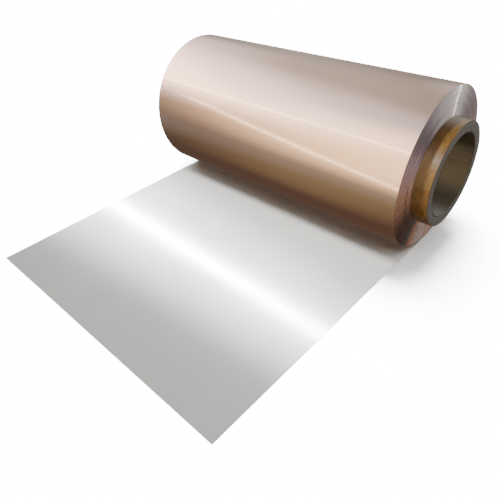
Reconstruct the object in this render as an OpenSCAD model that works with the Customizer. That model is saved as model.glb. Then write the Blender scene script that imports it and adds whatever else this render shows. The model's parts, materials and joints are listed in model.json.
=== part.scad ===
// Wide roll of silver-backed copper foil on a paperboard core, lying on its side
// with a stretch of the web unrolled over the table.
// Frame: the origin is the middle of the core's bore. +X runs along the roll's axis,
// the free web lies towards -Y, and +Z is up. The table is one roll radius below the axis.

/* [Web] */
// Width of the web
web_w = 305; // [150:5:600]
// Length of the web that lies flat, from under the roll's axis to its cut end
web_len = 290; // [100:5:600]
// Thickness of the copper foil
foil_t = 0.15; // [0.10:0.01:0.30]
// Thickness of the silver backing
backing_t = 0.14; // [0.10:0.01:0.30]

/* [Wound roll] */
// Outside diameter of the wound roll
roll_d = 150; // [125:1:220]
// Air between the outermost lap and the lap under it
lap_gap = 0.15; // [0.10:0.05:0.30]
// Distance that neighbouring groups of laps are stepped along the axis
band_step = 0.4; // [0:0.1:1]

/* [Core] */
// Bore of the core
core_bore_d = 76.2; // [50:0.1:78]
// Wall of the core, with its liner and outer wrap
core_wall = 10; // [6:0.5:12]
// Thickness of the smooth liner inside the core
liner_t = 1; // [0.5:0.1:1.5]
// Thickness of the glossy wrap outside the core
wrap_t = 0.6; // [0.4:0.1:1]
// Length of core that stands out of the web at each end
core_proud = 15; // [2:1:40]

/* [Hidden] */

// Bond line between layers that are glued together
bond_t = 0.01;
// Clearance between neighbouring rings of the core and of the wound laps
ring_gap = 0.05;
// Clearance between the outermost lap, which keeps its shape, and the laps that turn inside it
turning_gap = 0.2;
// Gap between the flat web and the start of the outermost lap
web_gap = 0.1;
// Straight facets in the outermost lap
lap_steps = 180;

roll_r = roll_d / 2;
bore_r = core_bore_d / 2;
core_r = bore_r + core_wall;
core_len = web_w + 2 * core_proud;
web_t = foil_t + bond_t + backing_t;
// The outermost lap sinks inwards by one pitch over its full turn
lap_pitch = web_t + lap_gap;
turns_r = roll_r - lap_pitch - web_t - turning_gap;
band_t = (turns_r - core_r) / 3;

foil_color = [0.80, 0.60, 0.50];
foil_edge_color = [0.55, 0.40, 0.33];
backing_color = [0.80, 0.80, 0.78];
board_color = [0.40, 0.39, 0.37];
liner_color = [0.24, 0.22, 0.16];
wrap_color = [0.48, 0.30, 0.13];

$fn = 180;

// A plain tube about the X axis, middle at x
module tube(r_out, r_in, length, x = 0) {
    translate([x, 0, 0])
        rotate([0, 90, 0])
            difference() {
                cylinder(h = length, r = r_out, center = true);
                cylinder(h = length + 2, r = r_in, center = true);
            }
}

// One of the three groups of wound laps, counted outwards from the core
module wound_band(index, x = 0) {
    r_in = core_r + index * band_t + ring_gap;
    tube(r_in + band_t - ring_gap, r_in, web_w, x);
}

// A point of the outermost lap, depth below its outer face. The lap starts under the
// axis, climbs the far side and comes down the near side.
function lap_point(angle, depth) =
    let (r = roll_r - depth - lap_pitch * angle / 360)
    [r * sin(angle), -r * cos(angle)];

function lap_curve(depth) =
    [for (i = [0 : lap_steps]) lap_point(360 * i / lap_steps, depth)];

function reversed(points) =
    [for (i = [len(points) - 1 : -1 : 0]) points[i]];

// One layer of the outermost lap, between two depths below its outer face
module lap_layer(depth, thickness) {
    rotate([90, 0, 90])
        linear_extrude(height = web_w, center = true)
            polygon(concat(lap_curve(depth), reversed(lap_curve(depth + thickness))));
}

// One layer of the flat web, at a height above the table
module web_layer(height, thickness) {
    translate([-web_w / 2, -web_len, height - roll_r])
        cube([web_w, web_len - web_gap, thickness]);
}

// Smooth liner that forms the bore
module core_liner() {
    color(liner_color)
        tube(bore_r + liner_t, bore_r, core_len);
}

// Wound paperboard plies, the body of the core
module core_plies() {
    color(board_color)
        tube(core_r - wrap_t - ring_gap, bore_r + liner_t + ring_gap, core_len);
}

// Glossy amber wrap round the outside of the core
module core_wrap() {
    color(wrap_color)
        tube(core_r, core_r - wrap_t, core_len);
}

// First laps, on the core
module turns_inner() {
    color(foil_edge_color)
        wound_band(0, band_step / 2);
}

// Laps half way out
module turns_middle() {
    color(foil_edge_color)
        wound_band(1, -band_step / 2);
}

// Last laps under the outermost one
module turns_outer() {
    color(foil_edge_color)
        wound_band(2);
}

// Copper face of the outermost lap
module lap_foil() {
    color(foil_color)
        lap_layer(0, foil_t);
}

// Silver face of the outermost lap, on its inside
module lap_backing() {
    color(backing_color)
        lap_layer(foil_t + bond_t, backing_t);
}

// Copper face of the flat web, on the table
module web_foil() {
    color(foil_color)
        web_layer(0, foil_t);
}

// Silver face of the flat web, facing up
module web_backing() {
    color(backing_color)
        web_layer(foil_t + bond_t, backing_t);
}

core_liner();
core_plies();
core_wrap();
turns_inner();
turns_middle();
turns_outer();
lap_foil();
lap_backing();
web_foil();
web_backing();
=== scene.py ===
import json
import math
import random

import bpy
from mathutils import Matrix, Quaternion, Vector, noise


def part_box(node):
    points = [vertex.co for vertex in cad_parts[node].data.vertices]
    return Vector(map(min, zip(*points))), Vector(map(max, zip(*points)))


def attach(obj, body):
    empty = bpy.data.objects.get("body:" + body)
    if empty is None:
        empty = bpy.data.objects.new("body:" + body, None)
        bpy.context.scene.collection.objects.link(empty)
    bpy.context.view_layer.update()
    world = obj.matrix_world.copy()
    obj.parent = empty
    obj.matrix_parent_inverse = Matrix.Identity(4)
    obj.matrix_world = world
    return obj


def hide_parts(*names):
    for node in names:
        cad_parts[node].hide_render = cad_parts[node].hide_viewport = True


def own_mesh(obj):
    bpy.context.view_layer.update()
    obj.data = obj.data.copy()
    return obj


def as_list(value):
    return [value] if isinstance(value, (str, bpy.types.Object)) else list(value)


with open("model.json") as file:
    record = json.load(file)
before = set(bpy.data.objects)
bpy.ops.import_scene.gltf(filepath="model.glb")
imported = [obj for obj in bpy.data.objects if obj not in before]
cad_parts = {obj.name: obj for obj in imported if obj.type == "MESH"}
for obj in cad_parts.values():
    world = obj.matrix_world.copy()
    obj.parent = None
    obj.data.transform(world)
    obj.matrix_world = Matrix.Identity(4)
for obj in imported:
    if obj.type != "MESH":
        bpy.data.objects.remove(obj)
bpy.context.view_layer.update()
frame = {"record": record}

# ---------------------------------------------------------------- sizes, from the frame

MM = 0.001

web_lo, web_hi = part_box("web_foil")
HALF_WEB = web_hi.x  # half the web's width
TABLE_Z = web_lo.z  # the surface that everything lies on
ROLL_R = -TABLE_Z
WEB_LEN = -web_lo.y
WEB_START_Y = web_hi.y
FOIL_T = web_hi.z - web_lo.z
BACKING_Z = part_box("web_backing")[0].z
BACKING_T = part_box("web_backing")[1].z - BACKING_Z
WEB_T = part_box("web_backing")[1].z - TABLE_Z
HALF_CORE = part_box("core_plies")[1].x
CORE_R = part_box("core_wrap")[1].z
PLIES_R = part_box("core_plies")[1].z
LINER_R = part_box("core_liner")[1].z
BORE_MOUNT = next(m for m in frame["record"]["mounts"] if m["name"] == "core_bore")
BORE_R = BORE_MOUNT["dims"]["r_mm"] * MM
BANDS = ("turns_inner", "turns_middle", "turns_outer")

RING_GAP = 0.05 * MM  # clearance between neighbouring rings
LAP_GAP = 0.15 * MM  # air between the outermost lap and the lap under it
LAP_PITCH = WEB_T + LAP_GAP


# ---------------------------------------------------------------- mesh helpers


def new_object(name, verts, faces, material, smooth=True):
    mesh = bpy.data.meshes.new(name)
    mesh.from_pydata([tuple(v) for v in verts], [], faces)
    mesh.validate()
    mesh.update()
    obj = bpy.data.objects.new(name, mesh)
    bpy.context.scene.collection.objects.link(obj)
    mesh.materials.append(material)
    if smooth:
        mesh.polygons.foreach_set("use_smooth", [True] * len(mesh.polygons))
        mesh.set_sharp_from_angle(angle=math.radians(40))
    return obj


def revolve(name, profile, segments, material, wander=None):
    """A closed ring about the X axis. profile is a closed loop of (x, radius), and
    wander(x, radius, angle) may add a small shift along X."""
    verts, faces = [], []
    n = len(profile)
    for s in range(segments):
        angle = math.tau * s / segments
        c, q = math.cos(angle), math.sin(angle)
        for x, r in profile:
            dx = wander(x, r, angle) if wander else 0.0
            verts.append((x + dx, -r * c, r * q))
    for s in range(segments):
        a, b = s * n, ((s + 1) % segments) * n
        for i in range(n):
            j = (i + 1) % n
            faces.append((a + i, a + j, b + j, b + i))
    return new_object(name, verts, faces, material)


def tube_profile(half_length, r_in, r_out, edge):
    """A tube's wall with its four edges rounded by a quarter circle of radius edge."""
    points = []
    corners = (
        (half_length, r_out, 1, 1, 90),
        (half_length, r_in, 1, -1, 0),
        (-half_length, r_in, -1, -1, 270),
        (-half_length, r_out, -1, 1, 180),
    )
    steps = 4
    for x, r, sx, sr, start in corners:
        cx, cr = x - sx * edge, r - sr * edge
        for k in range(steps + 1):
            a = math.radians(start - 90 * k / steps)
            points.append((cx + edge * math.cos(a), cr + edge * math.sin(a)))
    return points


def slab(name, columns, rows, place, material):
    """A closed thin sheet. place(u, v, side) gives a point for u and v from 0 to 1 on
    side 0 (lower or outer) and side 1 (upper or inner)."""
    verts, faces = [], []
    for side in (0, 1):
        for j in range(rows + 1):
            for i in range(columns + 1):
                verts.append(place(i / columns, j / rows, side))
    w = columns + 1
    top = w * (rows + 1)
    for j in range(rows):
        for i in range(columns):
            a = j * w + i
            faces.append((a, a + w, a + w + 1, a + 1))
            faces.append((top + a, top + a + 1, top + a + w + 1, top + a + w))
    for i in range(columns):
        a, b = i, rows * w + i
        faces.append((a, a + 1, top + a + 1, top + a))
        faces.append((b + 1, b, top + b, top + b + 1))
    for j in range(rows):
        a, b = j * w, j * w + columns
        faces.append((a + w, a, top + a, top + a + w))
        faces.append((b, b + w, top + b + w, top + b))
    return new_object(name, verts, faces, material)


# ---------------------------------------------------------------- material helpers


def new_material(name):
    mat = bpy.data.materials.new(name)
    mat.use_nodes = True
    tree = mat.node_tree
    bsdf = next(n for n in tree.nodes if n.type == "BSDF_PRINCIPLED")
    return mat, tree, bsdf


def node(tree, kind, **values):
    made = tree.nodes.new(kind)
    for key, value in values.items():
        if hasattr(made, key):
            setattr(made, key, value)
        else:
            made.inputs[key.replace("_", " ")].default_value = value
    return made


def mapped(tree, scale, rotation=(0, 0, 0)):
    """The object's own coordinates, in metres, stretched by scale."""
    coords = node(tree, "ShaderNodeTexCoord")
    mapping = node(tree, "ShaderNodeMapping")
    mapping.inputs["Scale"].default_value = scale
    mapping.inputs["Rotation"].default_value = rotation
    tree.links.new(coords.outputs["Object"], mapping.inputs["Vector"])
    return mapping.outputs["Vector"]


def noise_tex(tree, vector, scale, detail=4.0, roughness=0.5, distortion=0.0):
    tex = node(tree, "ShaderNodeTexNoise")
    tex.inputs["Scale"].default_value = scale
    tex.inputs["Detail"].default_value = detail
    tex.inputs["Roughness"].default_value = roughness
    tex.inputs["Distortion"].default_value = distortion
    tree.links.new(vector, tex.inputs["Vector"])
    return tex.outputs["Fac"]


def ramp(tree, value, stops):
    made = node(tree, "ShaderNodeValToRGB")
    elements = made.color_ramp.elements
    while len(elements) < len(stops):
        elements.new(0.5)
    for element, (place, colour) in zip(elements, stops):
        element.position = place
        element.color = (*colour, 1.0)
    tree.links.new(value, made.inputs["Fac"])
    return made.outputs["Color"]


def spread(tree, value, low, high, from_low=0.0, from_high=1.0):
    made = node(tree, "ShaderNodeMapRange")
    made.inputs["From Min"].default_value = from_low
    made.inputs["From Max"].default_value = from_high
    made.inputs["To Min"].default_value = low
    made.inputs["To Max"].default_value = high
    tree.links.new(value, made.inputs["Value"])
    return made.outputs["Result"]


def mix_colour(tree, factor, a, b, blend="MIX"):
    made = node(tree, "ShaderNodeMix", data_type="RGBA", blend_type=blend)
    colour_a, colour_b = made.inputs[6], made.inputs[7]
    for socket, value in ((made.inputs["Factor"], factor), (colour_a, a), (colour_b, b)):
        if hasattr(value, "is_linked") or hasattr(value, "links"):
            tree.links.new(value, socket)
        else:
            socket.default_value = value if isinstance(value, float) else (*value, 1.0)
    return made.outputs[2]


def bump(tree, bsdf, height, strength, distance, after=None):
    made = node(tree, "ShaderNodeBump")
    made.inputs["Strength"].default_value = strength
    made.inputs["Distance"].default_value = distance
    tree.links.new(height, made.inputs["Height"])
    if after is not None:
        tree.links.new(after, made.inputs["Normal"])
    tree.links.new(made.outputs["Normal"], bsdf.inputs["Normal"])
    return made.outputs["Normal"]


# ---------------------------------------------------------------- materials


def copper_face():
    """Bright rolled copper. The rolling lines run round the roll, and faint tension
    lines run along it."""
    mat, tree, bsdf = new_material("copper_face")
    bsdf.inputs["Metallic"].default_value = 1.0
    bsdf.inputs["Anisotropic"].default_value = 0.35
    clouds = noise_tex(tree, mapped(tree, (4, 12, 12)), 1.0, 3.0, 0.55)
    colour = ramp(tree, clouds, ((0.25, (0.86, 0.62, 0.50)), (0.75, (0.93, 0.71, 0.59))))
    tree.links.new(colour, bsdf.inputs["Base Color"])
    lines = noise_tex(tree, mapped(tree, (2500, 6, 6)), 1.0, 2.0, 0.6)
    tree.links.new(spread(tree, lines, 0.11, 0.15, 0.3, 0.7), bsdf.inputs["Roughness"])
    tension = noise_tex(tree, mapped(tree, (2.5, 260, 260)), 1.0, 3.0, 0.6)
    first = bump(tree, bsdf, tension, 0.25, 0.02 * MM)
    bump(tree, bsdf, lines, 0.10, 0.01 * MM, first)
    return mat


def silver_face():
    """Satin silver backing with fine rolling lines along the web."""
    mat, tree, bsdf = new_material("silver_face")
    bsdf.inputs["Metallic"].default_value = 0.4
    bsdf.inputs["Anisotropic"].default_value = 0.3
    clouds = noise_tex(tree, mapped(tree, (14, 4, 14)), 1.0, 4.0, 0.5)
    colour = ramp(tree, clouds, ((0.3, (0.64, 0.635, 0.62)), (0.7, (0.69, 0.685, 0.67))))
    tree.links.new(colour, bsdf.inputs["Base Color"])
    lines = noise_tex(tree, mapped(tree, (3000, 10, 10)), 1.0, 3.0, 0.6)
    tree.links.new(spread(tree, lines, 0.09, 0.12, 0.3, 0.7), bsdf.inputs["Roughness"])
    bump(tree, bsdf, lines, 0.10, 0.01 * MM)
    return mat


def ring_coordinates(tree):
    """Distance from the roll's axis, and the unit vector that points away from it."""
    coords = node(tree, "ShaderNodeTexCoord")
    flat = node(tree, "ShaderNodeVectorMath", operation="MULTIPLY")
    flat.inputs[1].default_value = (0, 1, 1)
    tree.links.new(coords.outputs["Object"], flat.inputs[0])
    radius = node(tree, "ShaderNodeVectorMath", operation="LENGTH")
    tree.links.new(flat.outputs["Vector"], radius.inputs[0])
    outward = node(tree, "ShaderNodeVectorMath", operation="NORMALIZE")
    tree.links.new(flat.outputs["Vector"], outward.inputs[0])
    return radius.outputs["Value"], outward.outputs["Vector"]


def foil_edges():
    """The slit edges of the laps: fine rings that throw fans of light, with painted reflections
    on top: the colour changes sector by sector from copper brown to lilac and grey, like fans
    of reflected light, and pale radial streaks are painted in. The stops of the ramp are shares
    of a turn round the axis, with one narrow painted dark reflection and one narrow painted highlight."""
    mat, tree, bsdf = new_material("foil_edges")
    bsdf.inputs["Metallic"].default_value = 1.0
    bsdf.inputs["Anisotropic"].default_value = 0.9
    bsdf.inputs["Anisotropic Rotation"].default_value = 0.25
    tangent = node(tree, "ShaderNodeTangent", direction_type="RADIAL", axis="X")
    tree.links.new(tangent.outputs["Tangent"], bsdf.inputs["Tangent"])
    radius, outward = ring_coordinates(tree)

    turned = node(tree, "ShaderNodeMapping")
    turned.inputs["Rotation"].default_value = (0, math.radians(90), 0)
    tree.links.new(outward, turned.inputs["Vector"])
    turn = node(tree, "ShaderNodeTexGradient", gradient_type="RADIAL")
    tree.links.new(turned.outputs["Vector"], turn.inputs["Vector"])
    # painted reflections: each sector's colour stands for the light that the edges mirror there. The pale
    # stops at 0.523 to 0.529 are a painted highlight line, the dark stop at 0.004 is a painted dark
    # reflection, and the orange stop at 0.080 is a painted streak of reflected light. They are fixed to
    # the laps and turn with the roll.
    reflection_sectors = ramp(
        tree, turn.outputs["Fac"],
        (
            (0.000, (0.50, 0.32, 0.25)), (0.004, (0.16, 0.10, 0.08)), (0.008, (0.46, 0.33, 0.27)),
            (0.050, (0.40, 0.31, 0.26)), (0.080, (0.62, 0.27, 0.13)), (0.100, (0.22, 0.19, 0.17)),
            (0.150, (0.26, 0.15, 0.10)), (0.250, (0.46, 0.26, 0.17)), (0.320, (0.44, 0.33, 0.38)),
            (0.420, (0.36, 0.31, 0.33)), (0.518, (0.33, 0.31, 0.30)), (0.523, (0.85, 0.70, 0.70)),
            (0.529, (0.85, 0.70, 0.70)), (0.534, (0.21, 0.23, 0.18)), (0.620, (0.36, 0.30, 0.34)),
            (0.780, (0.24, 0.15, 0.12)), (1.000, (0.50, 0.32, 0.25)),
        ),
    )
    # painted reflected light: pale radial streaks mixed over the sector colours, like the fans of light
    # that the edges throw
    painted_fan_streaks = noise_tex(tree, outward, 14.0, 3.0, 0.6)
    painted_reflections = mix_colour(tree, spread(tree, painted_fan_streaks, 0.0, 0.35, 0.45, 0.7), reflection_sectors, (0.55, 0.44, 0.40))

    laps = node(tree, "ShaderNodeCombineXYZ")
    tree.links.new(radius, laps.inputs["X"])
    rings = noise_tex(tree, laps.outputs["Vector"], 500.0, 3.0, 0.7)
    shade = ramp(tree, rings, ((0.38, (0.66, 0.64, 0.63)), (0.60, (1.0, 1.0, 1.0))))
    colour = mix_colour(tree, 1.0, painted_reflections, shade, "MULTIPLY")
    tree.links.new(colour, bsdf.inputs["Base Color"])
    tree.links.new(spread(tree, rings, 0.34, 0.42, 0.3, 0.7), bsdf.inputs["Roughness"])
    return mat


def core_wrap():
    """Glossy amber varnished paper, mottled like brown kraft."""
    mat, tree, bsdf = new_material("core_wrap")
    bsdf.inputs["Roughness"].default_value = 0.38
    bsdf.inputs["Specular IOR Level"].default_value = 0.25
    bsdf.inputs["Coat Weight"].default_value = 0.6
    bsdf.inputs["Coat Roughness"].default_value = 0.05
    blotches = noise_tex(tree, mapped(tree, (260, 90, 90)), 1.0, 6.0, 0.62, 0.4)
    colour = ramp(
        tree, blotches,
        ((0.28, (0.11, 0.052, 0.009)), (0.48, (0.165, 0.085, 0.016)), (0.72, (0.24, 0.13, 0.030))),
    )
    fibres = noise_tex(tree, mapped(tree, (1600, 240, 240)), 1.0, 4.0, 0.6)
    colour = mix_colour(tree, spread(tree, fibres, 0.0, 0.4, 0.35, 0.75), colour, (0.10, 0.042, 0.010))
    tree.links.new(colour, bsdf.inputs["Base Color"])
    bump(tree, bsdf, fibres, 0.15, 0.05 * MM)
    return mat


def core_board():
    """Cut end of the wound board: flat grey, with a trace of fibre."""
    mat, tree, bsdf = new_material("core_board")
    bsdf.inputs["Roughness"].default_value = 0.75
    fibre = noise_tex(tree, mapped(tree, (700, 700, 700)), 1.0, 5.0, 0.6)
    colour = ramp(tree, fibre, ((0.3, (0.18, 0.17, 0.15)), (0.7, (0.24, 0.23, 0.21))))
    tree.links.new(colour, bsdf.inputs["Base Color"])
    bump(tree, bsdf, fibre, 0.25, 0.08 * MM)
    return mat


def core_liner():
    """Dark olive liner of the bore, with a low sheen."""
    mat, tree, bsdf = new_material("core_liner")
    bsdf.inputs["Coat Weight"].default_value = 0.25
    bsdf.inputs["Coat Roughness"].default_value = 0.35
    clouds = noise_tex(tree, mapped(tree, (25, 45, 45)), 1.0, 5.0, 0.6)
    colour = ramp(tree, clouds, ((0.3, (0.045, 0.038, 0.020)), (0.7, (0.105, 0.088, 0.045))))
    tree.links.new(colour, bsdf.inputs["Base Color"])
    fibres = noise_tex(tree, mapped(tree, (300, 700, 700)), 1.0, 4.0, 0.6)
    tree.links.new(spread(tree, fibres, 0.42, 0.60), bsdf.inputs["Roughness"])
    bump(tree, bsdf, fibres, 0.2, 0.05 * MM)
    return mat


# ---------------------------------------------------------------- the core


def build_core(wrap_mat, board_mat, liner_mat):
    """Three nested tubes. The board and the liner are set back a little behind the wrap."""
    segments = 256
    board_back = 0.1 * MM
    liner_back = 0.2 * MM
    wrap_edge = 0.15 * MM
    board_edge = 0.3 * MM
    liner_edge = 0.2 * MM

    wrap_wall = tube_profile(HALF_CORE, PLIES_R + RING_GAP, CORE_R, wrap_edge)
    wrap = revolve("core_wrap_sleeve", wrap_wall, segments, wrap_mat)
    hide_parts("core_wrap")

    board_wall = tube_profile(HALF_CORE - board_back, LINER_R + RING_GAP, PLIES_R, board_edge)
    plies = revolve("core_board_wall", board_wall, segments, board_mat)
    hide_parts("core_plies")

    liner_wall = tube_profile(HALF_CORE - liner_back, BORE_R, LINER_R, liner_edge)
    liner = revolve("core_bore_liner", liner_wall, segments, liner_mat)
    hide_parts("core_liner")

    for piece, slot in ((wrap, "core_wrap"), (plies, "core_board"), (liner, "core_liner")):
        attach(piece, "roll")
    return [wrap, plies, liner]


# ---------------------------------------------------------------- the wound laps


def lap_wander(phase):
    """Laps that are pressed together wander along the axis together, up to a few
    hundredths of a millimetre, more towards the outside."""
    height = 0.03 * MM

    def wander(x, r, angle):
        side = 1.0 if x > 0 else -1.0
        out = (r - CORE_R) / (ROLL_R - CORE_R)
        waves = math.sin(3 * angle + phase)
        waves += 0.6 * math.sin(7 * angle + 2.1 * phase)
        waves += 0.4 * math.sin(13 * angle)
        return side * height * out * waves

    return wander


def build_turns(material):
    """Each group of laps is a ring whose two ends are made of every lap's own rounded
    edge, stepped a little from its neighbours."""
    segments = 240
    step = 0.010  # in millimetres, one standard deviation
    groove = 0.03 * MM  # depth between two laps
    shoulder = 0.006 * MM  # how far a lap's edge is rounded off on each side of its middle
    rim = 0.12 * MM  # how far the outer edge of the ring lies behind its ends
    draw = random.Random(7)
    rings = []
    r_in = CORE_R + RING_GAP
    for index, band in enumerate(BANDS):
        lo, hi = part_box(band)
        r_out = hi.z
        laps = round((r_out - r_in) / WEB_T)
        pitch = (r_out - r_in) / laps
        steps = [draw.gauss(0, step) * MM for _ in range(laps)]

        def end(x_end, side):
            points = []
            for k in range(laps):
                r = r_in + k * pitch
                x = x_end + side * steps[k]
                points.append((x - side * groove, r + 0.02 * pitch))
                points.append((x - side * shoulder, r + 0.25 * pitch))
                points.append((x, r + 0.50 * pitch))
                points.append((x - side * shoulder, r + 0.75 * pitch))
            points.append((x_end - side * rim, r_out))
            return points

        profile = end(hi.x, 1) + list(reversed(end(lo.x, -1)))
        name = band.replace("turns", "wound_laps")
        ring = revolve(name, profile, segments, material, lap_wander(1.3 * index))
        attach(ring, "roll")
        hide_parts(band)
        rings.append(ring)
        r_in = r_out + RING_GAP
    return rings


# ---------------------------------------------------------------- the outermost lap


def lap_relief(x, angle):
    """How far the taut outer lap stands in or out, in metres: the slow unevenness of
    the winding below it."""
    depth = 0.05 * MM
    circle = 1.3  # radius of the circle in the noise, which gives about 8 swells to a turn
    along = 9  # swells in a metre of the roll's width
    slow = noise.noise(Vector((x * along, math.cos(angle) * circle, math.sin(angle) * circle)))
    return depth * slow


def build_outer_lap(copper, silver):
    """The outermost lap, which starts under the axis and sinks inwards by one pitch."""
    around, along = 360, 72

    def layer(depth, thickness):
        def place(u, v, side):
            angle = math.tau * v
            x = (2 * u - 1) * HALF_WEB
            fade = min(1.0, 8 * min(v, 1 - v))  # the relief fades out at both ends of the turn
            r = ROLL_R - depth - side * thickness - LAP_PITCH * v
            r = r + fade * lap_relief(x, angle)
            return (x, r * math.sin(angle), -r * math.cos(angle))
        return place

    outer = slab("outer_lap_copper", along, around, layer(0.0, FOIL_T), copper)
    inner = slab("outer_lap_silver", along, around, layer(WEB_T - BACKING_T, BACKING_T), silver)
    for piece, old, slot in (
        (outer, "lap_foil", "copper_face"),
        (inner, "lap_backing", "silver_face"),
    ):
        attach(piece, "outer_lap")
        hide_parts(old)
    return [outer, inner]


# ---------------------------------------------------------------- the flat web


def web_lift(x, y):
    """Height of the laid web above the table: it lies nearly flat, with slow, shallow
    waves that grow a little towards its edges and its cut end."""
    edge = abs(x) / HALF_WEB
    free = min(1.0, -y / WEB_LEN)
    near_roll = min(1.0, -y / (0.25 * WEB_LEN)) if y < 0 else 0.0
    wave = noise.noise(Vector((x * 7, y * 5, 3.7)))
    edge_wave = noise.noise(Vector((x * 3, y * 14, 9.1)))
    lift = 0.10 + 0.10 * wave + 0.10 * edge ** 4 * (1 + edge_wave) + 0.10 * free ** 6
    return max(0.0, lift) * near_roll * MM


def build_flat_web(copper, silver):
    """The two layers of the flat stretch. Returns the upper one."""
    across, down = 140, 140

    def layer(base, thickness):
        def place(u, v, side):
            x = (2 * u - 1) * HALF_WEB
            y = WEB_START_Y + (-WEB_LEN - WEB_START_Y) * v
            return (x, y, base + side * thickness + web_lift(x, y))
        return place

    lower = slab("flat_web_copper", across, down, layer(TABLE_Z, FOIL_T), copper)
    upper = slab("flat_web_silver", across, down, layer(BACKING_Z, BACKING_T), silver)
    for piece, old, slot, under in (
        (lower, "web_foil", "copper_face", []),
        (upper, "web_backing", "silver_face", ["flat_web_copper"]),
    ):
        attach(piece, "flat_web")
        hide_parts(old)
        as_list(under)
        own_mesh(piece)
        piece.visible_glossy = False
    return upper


# ---------------------------------------------------------------- stage and light

STUDIO_WHITE = 18.0  # radiance that the view transform shows as white
TABLE_GREY = 0.9  # share of the light that the table gives back


def only_lights(lamp, *receivers):
    """The lamp lights these objects and nothing else."""
    group = bpy.data.collections.new(lamp.name + "_receivers")
    for obj in receivers:
        group.objects.link(obj)
    lamp.light_linking.receiver_collection = group


def floor_material():
    mat, _, bsdf = new_material("table")
    bsdf.inputs["Base Color"].default_value = (TABLE_GREY, TABLE_GREY, TABLE_GREY, 1.0)
    bsdf.inputs["Roughness"].default_value = 1.0
    bsdf.inputs["Specular IOR Level"].default_value = 0.0
    return mat


def table_sun(name, share, width, direction, table):
    """A sun for the table alone, which gives it a share of its white."""
    data = bpy.data.lights.new(name, "SUN")
    data.energy = share * STUDIO_WHITE * math.pi / TABLE_GREY
    data.angle = math.radians(width)
    lamp = bpy.data.objects.new(name, data)
    bpy.context.scene.collection.objects.link(lamp)
    lamp.rotation_mode = "QUATERNION"
    lamp.rotation_quaternion = Vector(direction).to_track_quat("-Z", "Y")
    only_lights(lamp, table)


def build_stage():
    """A plain white table with two suns of its own: one that casts the object's soft
    shadow, and a faint wide one that fills it. The table is hidden from the metal, which
    mirrors the dim studio in place of it, so that it does not wash out the foil. It stops
    no light, because some of the roll's lamps stand below it."""
    half = 12.0
    z = TABLE_Z - 0.05 * MM
    corners = [(-half, -half, z), (half, -half, z), (half, half, z), (-half, half, z)]
    table = new_object("table", corners, [(0, 1, 2, 3)], floor_material(), smooth=False)
    table.visible_glossy = False
    table.visible_diffuse = False
    table.visible_shadow = False
    table_sun("table_sun", 0.92, 34, (0.30, -0.22, -0.93), table)
    table_sun("table_fill", 0.08, 150, (0, 0, -1), table)


def fade_to_edges(data):
    """Makes an area light brightest in its middle and lets it fade to nothing at its
    edges, as 256 u^2 (1-u)^2 v^2 (1-v)^2 over its face."""
    data.use_nodes = True
    tree = data.node_tree
    emission = next(n for n in tree.nodes if n.type == "EMISSION")
    place = node(tree, "ShaderNodeNewGeometry")
    rest = node(tree, "ShaderNodeVectorMath", operation="SUBTRACT")
    rest.inputs[0].default_value = (1, 1, 1)
    tree.links.new(place.outputs["Parametric"], rest.inputs[1])
    humps = node(tree, "ShaderNodeVectorMath", operation="MULTIPLY")
    tree.links.new(place.outputs["Parametric"], humps.inputs[0])
    tree.links.new(rest.outputs["Vector"], humps.inputs[1])
    parts = node(tree, "ShaderNodeSeparateXYZ")
    tree.links.new(humps.outputs["Vector"], parts.inputs["Vector"])
    hill = node(tree, "ShaderNodeMath", operation="MULTIPLY")
    tree.links.new(parts.outputs["X"], hill.inputs[0])
    tree.links.new(parts.outputs["Y"], hill.inputs[1])
    peak_one = node(tree, "ShaderNodeMath", operation="MULTIPLY")
    peak_one.inputs[1].default_value = 16.0
    tree.links.new(hill.outputs[0], peak_one.inputs[0])
    softer = node(tree, "ShaderNodeMath", operation="POWER")
    softer.inputs[1].default_value = 2.0
    tree.links.new(peak_one.outputs[0], softer.inputs[0])
    tree.links.new(softer.outputs[0], emission.inputs["Strength"])


def soft_light(name, place, size, radiance, along=(1, 0, 0), aim=(0, 0, 0), colour=(1, 1, 1), fades=False):
    """A rectangular soft light that faces aim, with its first side along a direction.
    radiance sets how bright its face is, in the middle if it fades to its edges."""
    data = bpy.data.lights.new(name, "AREA")
    data.shape = "RECTANGLE"
    data.size, data.size_y = size
    data.energy = radiance * math.pi * size[0] * size[1]
    data.color = colour
    if fades:
        fade_to_edges(data)
    lamp = bpy.data.objects.new(name, data)
    bpy.context.scene.collection.objects.link(lamp)
    back = (Vector(place) - Vector(aim)).normalized()
    side = Vector(along)
    side = (side - back * side.dot(back)).normalized()
    turn = Matrix((side, back.cross(side), back)).transposed().to_4x4()
    lamp.matrix_world = Matrix.Translation(place) @ turn
    lamp.visible_camera = False
    return lamp


def tube_light(name, start, end, width, radiance, colour=(1, 1, 1)):
    """A long narrow light from start to end."""
    start, end = Vector(start), Vector(end)
    length = (end - start).length
    return soft_light(name, (start + end) / 2, (length, width), radiance, along=end - start, colour=colour)


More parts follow.
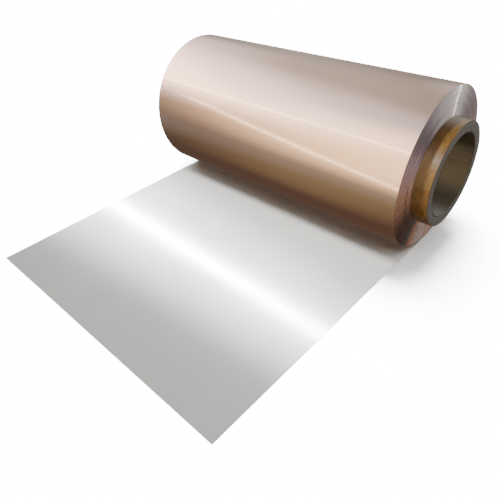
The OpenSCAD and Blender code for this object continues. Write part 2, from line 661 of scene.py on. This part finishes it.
def build_world():
    """White to the camera. To everything else it is a dim studio, lighter and warmer at and
    just below the horizon."""
    world = bpy.data.worlds.new("studio")
    bpy.context.scene.world = world
    world.use_nodes = True
    tree = world.node_tree
    out = next(n for n in tree.nodes if n.type == "OUTPUT_WORLD")
    dim = next(n for n in tree.nodes if n.type == "BACKGROUND")
    direction = node(tree, "ShaderNodeTexCoord")
    parts = node(tree, "ShaderNodeSeparateXYZ")
    tree.links.new(direction.outputs["Generated"], parts.inputs["Vector"])
    # 0 is straight down, 0.5 is the horizon and 1 is straight up
    height = spread(tree, parts.outputs["Z"], 0.0, 1.0, -1.0, 1.0)
    colour = ramp(
        tree, height,
        (
            (0.00, (0.12, 0.08, 0.06)), (0.20, (0.10, 0.075, 0.06)), (0.30, (0.22, 0.20, 0.20)),
            (0.40, (0.32, 0.27, 0.23)), (0.50, (0.32, 0.27, 0.23)), (0.60, (0.06, 0.06, 0.06)),
        ),
    )
    tree.links.new(colour, dim.inputs["Color"])
    white = node(tree, "ShaderNodeBackground")
    white.inputs["Strength"].default_value = STUDIO_WHITE
    path = node(tree, "ShaderNodeLightPath")
    mix = node(tree, "ShaderNodeMixShader")
    tree.links.new(path.outputs["Is Camera Ray"], mix.inputs["Fac"])
    tree.links.new(dim.outputs["Background"], mix.inputs[1])
    tree.links.new(white.outputs["Background"], mix.inputs[2])
    tree.links.new(mix.outputs["Shader"], out.inputs["Surface"])


def light_roll(wound):
    """Large soft boxes and two thin tubes, whose reflections shade the copper. They light
    the core and the laps' edges as well. low_box stands below the table."""
    boxes = (
        soft_light("front_box", (-0.25, -1.25, 0.55), (3.0, 3.0), 2.7, along=(0.1, 0.4, 0.9),
                   colour=(1, 0.75, 0.45), fades=True),
        soft_light("left_box", (-1.25, -0.20, 0.70), (4.0, 1.8), 2.0, along=(0.2, -1, 0.2),
                   colour=(1, 0.9, 1), fades=True),
        soft_light("low_box", (-0.40, -1.20, -0.60), (1.8, 4.0), 0.2, along=(0.8, 0, -0.6),
                   colour=(1, 0.85, 0.45), fades=True),
        soft_light("left_door", (-1.20, -0.30, 0.70), (0.8, 2.2), 2.9, along=(-0.5, -0.1, -0.9),
                   colour=(1, 0.75, 0.35), fades=True),
        soft_light("top_box", (-0.75, -0.50, 1.10), (3.5, 2.0), 1.2, along=(0.8, -0.6, 0.1),
                   colour=(0.95, 0.9, 1), fades=True),
        soft_light("back_left_box", (-0.80, 0.60, 1.00), (2.5, 4.5), 0.7, along=(-0.8, -0.4, -0.4),
                   colour=(1, 0.95, 0.9), fades=True),
        soft_light("back_box", (0.60, 1.20, 0.60), (3.0, 2.6), 2.2, fades=True),
        soft_light("right_box", (1.50, -0.50, 0.50), (1.0, 1.0), 2.0, along=(0, 1, 0), fades=True),
        tube_light("upper_tube", (-1.45, -0.70, 0.70), (-0.25, -1.20, 0.95), 0.012, 9.0,
                   colour=(1, 0.9, 0.8)),
        tube_light("lower_tube", (-1.20, -1.00, 0.45), (-0.35, -1.50, -0.30), 0.012, 14.0,
                   colour=(1, 0.8, 0.55)),
    )
    for lamp in boxes:
        only_lights(lamp, *wound)


def light_core(core):
    """A small bright lamp for the wrap's highlight, and a warm tube for its underside,
    which stands below the table."""
    low_start, low_end = (-0.25, -1.15, -0.30), (-0.20, -0.65, -0.95)
    for lamp in (
        soft_light("core_lamp", (-0.20, -0.84, 0.84), (0.10, 0.05), 1100.0,
                   colour=(0.85, 0.93, 1.1)),
        tube_light("core_low_tube", low_start, low_end, 0.12, 25.0, colour=(1, 0.85, 0.6)),
    ):
        only_lights(lamp, *core)


def light_ends(rings):
    """Lamps behind the roll and beyond its near end, which throw the fans of light on the
    laps' edges. The last two stand below the table."""
    for lamp in (
        soft_light("fan_line", (0.62, 1.30, -0.03), (0.03, 0.5), 40.0, colour=(1, 0.9, 0.9)),
        soft_light("fan_soft", (0.55, 1.25, -0.30), (0.9, 0.5), 0.45),
        soft_light("fan_copper", (1.15, 0.65, -0.65), (0.6, 0.6), 1.6, colour=(1, 0.85, 0.75)),
    ):
        only_lights(lamp, *rings)


def light_sheet(sheet):
    """Two wide lamps behind the roll, seen only as the bright band that the sheet
    mirrors, and three that only shade it, from above and from close beside the roll."""
    band = (-1.30, 0.87, 1.29)
    level = (1, 0, -0.02)
    for lamp in (
        soft_light("sheet_band", band, (7.0, 0.06), 150.0, along=level,
                   colour=(0.82, 0.97, 1.18), fades=True),
        soft_light("sheet_glow", band, (7.0, 0.80), 7.8, along=level,
                   colour=(0.95, 0.99, 1.04), fades=True),
    ):
        lamp.visible_diffuse = False
        only_lights(lamp, sheet)
    for lamp in (
        soft_light("sheet_top", (0, -0.40, 1.07), (1.5, 0.21), 20.0, colour=(1, 0.99, 0.95)),
        soft_light("sheet_low", (0, -0.65, 0.97), (1.5, 0.38), 3.6, colour=(0.92, 1.0, 1.02)),
        soft_light("sheet_near", (0, -0.103, 0.066), (0.6, 0.018), 33.0, aim=(0, 0.6, -0.93),
                   colour=(1, 0.99, 0.95)),
    ):
        lamp.visible_glossy = False
        only_lights(lamp, sheet)


def build_lights(wound, sheet):
    """wound is every piece of the roll: the core's three, the three groups of laps and the
    outermost lap's two. The soft boxes light all of them, and the core and the laps' edges
    have more lamps of their own. sheet is the upper layer of the flat web and has its own
    lamps. The lower layer is under it and gets only the world's light. The wound pieces are
    hidden from mirror rays, so that the sheet does not mirror them."""
    core, rings = wound[:3], wound[3:6]
    build_world()
    light_roll(wound)
    for piece in wound:
        piece.visible_glossy = False
    light_core(core)
    light_ends(rings)
    light_sheet(sheet)


# ---------------------------------------------------------------- camera

CAMERA_PLACE = Vector((293, -382, 213)) * MM
CAMERA_AIM = Vector((30, -123, -75)) * MM
CAMERA_ROLL = math.radians(-4)
CAMERA_LENS = 34


def build_camera():
    data = bpy.data.cameras.new("camera")
    data.lens = CAMERA_LENS
    data.sensor_width = 36.0
    data.clip_start = 0.01
    camera = bpy.data.objects.new("camera", data)
    bpy.context.scene.collection.objects.link(camera)
    camera.location = CAMERA_PLACE
    camera.rotation_mode = "QUATERNION"
    look = (CAMERA_AIM - CAMERA_PLACE).to_track_quat("-Z", "Y")
    camera.rotation_quaternion = look @ Quaternion((0, 0, 1), CAMERA_ROLL)
    bpy.context.scene.camera = camera


copper, silver = copper_face(), silver_face()
wound = build_core(core_wrap(), core_board(), core_liner())
wound += build_turns(foil_edges())
wound += build_outer_lap(copper, silver)
flat_silver = build_flat_web(copper, silver)
build_stage()
build_lights(wound, flat_silver)
build_camera()
